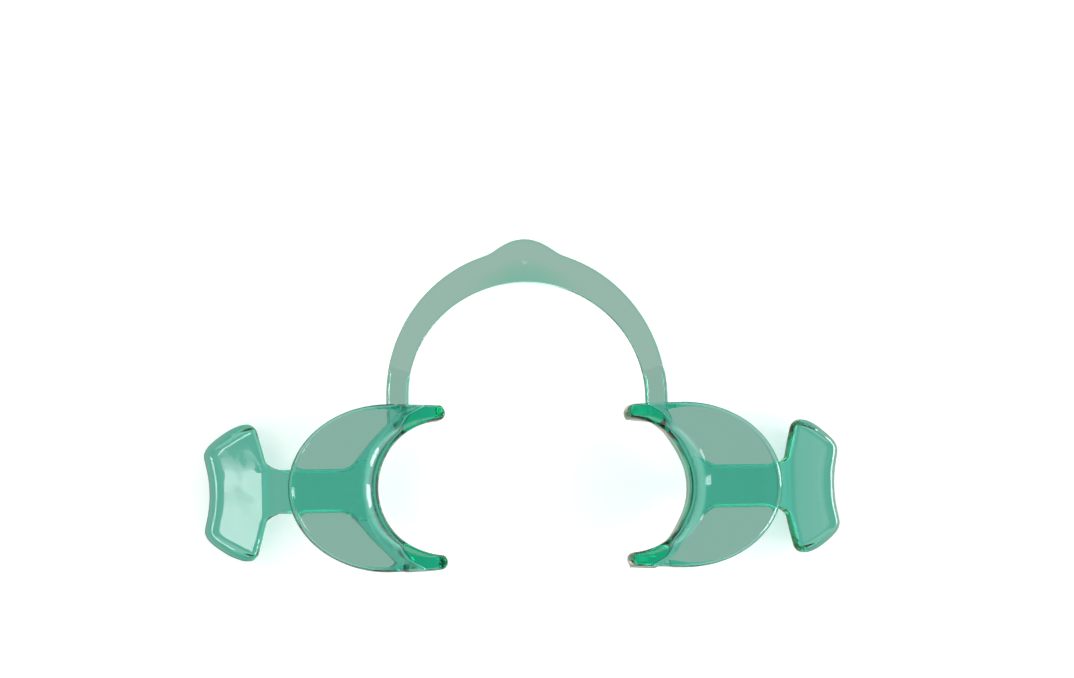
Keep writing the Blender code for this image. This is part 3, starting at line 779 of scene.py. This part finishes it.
class RETRACTOR_OT_saddles(bpy.types.Operator):
    """Makes each lip saddle with its stem, handle and the foot of the bow, as one moulded skin."""

    bl_idname = "retractor.saddles"
    bl_label = "Lip saddles"

    def execute(self, context):
        sizes = plain_sizes(context.scene)
        plastic = solid_plastic(context.scene.retractor_colours)
        for label, side in SIDES.items():
            saddle = add_piece(f"saddle_skin_{label}", saddle_rings(sizes), side)
            stem = add_piece("stem", stem_rings(sizes), side)
            handle = add_piece("handle", handle_rings(sizes), side)
            foot = add_piece("foot", leg_rings(sizes, LEG_SPLIT), side)
            fuse(stem, [handle])
            fuse(saddle, [stem, foot])
            finish_piece(saddle, plastic)
            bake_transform(saddle)
            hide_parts(*(f"{node}_{label}" for node in RIGID_NODES))
        return {"FINISHED"}


# Stage

def add_softbox(name, direction, size, radiance):
    """A rectangular lamp in a direction from the object, turned towards it."""
    lamp = bpy.data.lights.new(name, "AREA")
    lamp.shape = "RECTANGLE"
    lamp.size, lamp.size_y = size
    lamp.energy = radiance * math.pi * size[0] * size[1]
    holder = bpy.data.objects.new(name, lamp)
    away = Vector(direction).normalized()
    across = Vector((0.0, 1.0, 0.0)).cross(away).normalized()
    turned = Matrix((across, away.cross(across), away)).transposed().to_4x4()
    holder.matrix_world = Matrix.Translation(away * LAMP_DISTANCE) @ turned
    holder.visible_transmission = False
    bpy.context.scene.collection.objects.link(holder)


def add_camera(scene):
    """A camera over the object, a little to the left and rolled a little, at the photograph's framing."""
    aim = Vector((CAMERA_AIM[0], CAMERA_AIM[1] + SADDLE_Y, CAMERA_AIM[2])) * MILLIMETRE
    yaw, pitch, roll = (math.radians(value) for value in CAMERA_TURN)
    back = Vector((-math.sin(yaw) * math.cos(pitch), -math.sin(pitch), math.cos(yaw) * math.cos(pitch)))
    right = Vector((0.0, 1.0, 0.0)).cross(back).normalized()
    up = back.cross(right)
    right, up = right * math.cos(roll) - up * math.sin(roll), up * math.cos(roll) + right * math.sin(roll)
    lens = bpy.data.cameras.new("camera")
    lens.sensor_width = SENSOR_WIDTH
    lens.lens = SENSOR_WIDTH * CAMERA_DISTANCE / FRAME_WIDTH
    lens.clip_start = CLIP_START
    camera = bpy.data.objects.new("camera", lens)
    turned = Matrix((right, up, back)).transposed().to_4x4()
    camera.matrix_world = Matrix.Translation(aim + back * CAMERA_DISTANCE * MILLIMETRE) @ turned
    scene.collection.objects.link(camera)
    scene.camera = camera


def add_floor(scene):
    """A wide matt sheet under the object, which glows a little like a backlit table. Only the camera sees it:
    the plastic shows the studio's grey ground instead."""
    half, floor_colour = FLOOR_HALF, scene.retractor_colours.floor
    corners = [(-half, -half, 0), (half, -half, 0), (half, half, 0), (-half, half, 0)]
    mesh = bpy.data.meshes.new("floor")
    mesh.from_pydata(corners, [], [(0, 1, 2, 3)])
    sheet = bpy.data.objects.new("floor", mesh)
    sheet.location.z = -FLOOR_GAP * MILLIMETRE
    scene.collection.objects.link(sheet)
    paper = bpy.data.materials.new("matt_studio_floor")
    paper.use_nodes = True
    shader = paper.node_tree.nodes["Principled BSDF"]
    shader.inputs["Base Color"].default_value = floor_colour
    shader.inputs["Roughness"].default_value = FLOOR_ROUGHNESS
    shader.inputs["Emission Color"].default_value = floor_colour
    shader.inputs["Emission Strength"].default_value = FLOOR_GLOW
    mesh.materials.append(paper)
    for ray in ("visible_diffuse", "visible_glossy", "visible_transmission", "visible_shadow"):
        setattr(sheet, ray, False)


def studio_sky(ground):
    """A light tent by height of direction: a grey ground, dark near the horizon, bright walls, a darker top.
    Rays that have passed through the plastic see it a little dimmer."""
    world = bpy.data.worlds.new("studio")
    world.use_nodes = True
    tree = world.node_tree
    tree.nodes.clear()
    direction = add_node(tree, "ShaderNodeTexCoord").outputs["Generated"]
    split = add_node(tree, "ShaderNodeSeparateXYZ", None, {"Vector": direction})
    height = add_node(
        tree, "ShaderNodeMapRange", {"From Min": -1.0, "From Max": 1.0}, {"Value": split.outputs["Z"]})
    tent = add_node(tree, "ShaderNodeValToRGB", None, {"Fac": height.outputs["Result"]})
    dark = [channel * GROUND_DARK for channel in ground[:3]] + [1.0]
    walls, top = ([level] * 3 + [1.0] for level in (SKY_WALLS, SKY_TOP))
    stops = (
        (-GROUND_TURN[1], ground),
        (-GROUND_TURN[0], dark),
        (-HORIZON, dark),
        (0.0, walls),
        (SKY_TURN[0], walls),
        (SKY_TURN[1], top),
    )
    ramp = tent.color_ramp
    ramp.interpolation = "EASE"
    while len(ramp.elements) < len(stops):
        ramp.elements.new(1.0)
    for stop, (up, light_colour) in zip(ramp.elements, stops):
        stop.position = (up + 1.0) / 2
        stop.color = light_colour
    path = add_node(tree, "ShaderNodeLightPath")
    share = add_node(
        tree, "ShaderNodeMapRange", {"To Min": 1.0, "To Max": SKY_THROUGH},
        {"Value": path.outputs["Is Transmission Ray"]})
    light = add_node(
        tree, "ShaderNodeBackground", None,
        {"Color": tent.outputs["Color"], "Strength": share.outputs["Result"]})
    add_node(tree, "ShaderNodeOutputWorld", None, {"Surface": light.outputs["Background"]})
    return world


class RETRACTOR_OT_stage(bpy.types.Operator):
    """Makes the pale floor, the soft studio light and the camera."""

    bl_idname = "retractor.stage"
    bl_label = "Stage"

    def execute(self, context):
        scene = context.scene
        add_floor(scene)
        scene.world = studio_sky(scene.retractor_colours.ground)
        for name, direction, size, radiance in SOFTBOXES:
            add_softbox(name, direction, size, radiance)
        scene.view_settings.view_transform = "Standard"
        add_camera(scene)
        return {"FINISHED"}


# Panel and start

class RETRACTOR_PT_panel(bpy.types.Panel):
    """Lists the steps that build the retractor, and its sizes and colours."""

    bl_idname = "RETRACTOR_PT_panel"
    bl_label = "Cheek retractor"
    bl_space_type = "VIEW_3D"
    bl_region_type = "UI"
    bl_category = "Retractor"

    def draw(self, context):
        for operator in OPERATORS:
            self.layout.operator(operator.bl_idname)
        for group in (context.scene.retractor_sizes, context.scene.retractor_colours):
            for name in type(group).__annotations__:
                self.layout.prop(group, name)


OPERATORS = (RETRACTOR_OT_crown, RETRACTOR_OT_arms, RETRACTOR_OT_saddles, RETRACTOR_OT_stage)
CLASSES = (RetractorSizes, RetractorColours, *OPERATORS, RETRACTOR_PT_panel)


def register():
    for item in CLASSES:
        bpy.utils.register_class(item)
    bpy.types.Scene.retractor_sizes = bpy.props.PointerProperty(type=RetractorSizes)
    bpy.types.Scene.retractor_colours = bpy.props.PointerProperty(type=RetractorColours)


def unregister():
    del bpy.types.Scene.retractor_colours
    del bpy.types.Scene.retractor_sizes
    for item in reversed(CLASSES):
        bpy.utils.unregister_class(item)


def main():
    """Builds every piece and the stage."""
    register()
    bpy.ops.retractor.crown()
    bpy.ops.retractor.arms()
    bpy.ops.retractor.saddles()
    bpy.ops.retractor.stage()


if __name__ == "__main__":
    main()
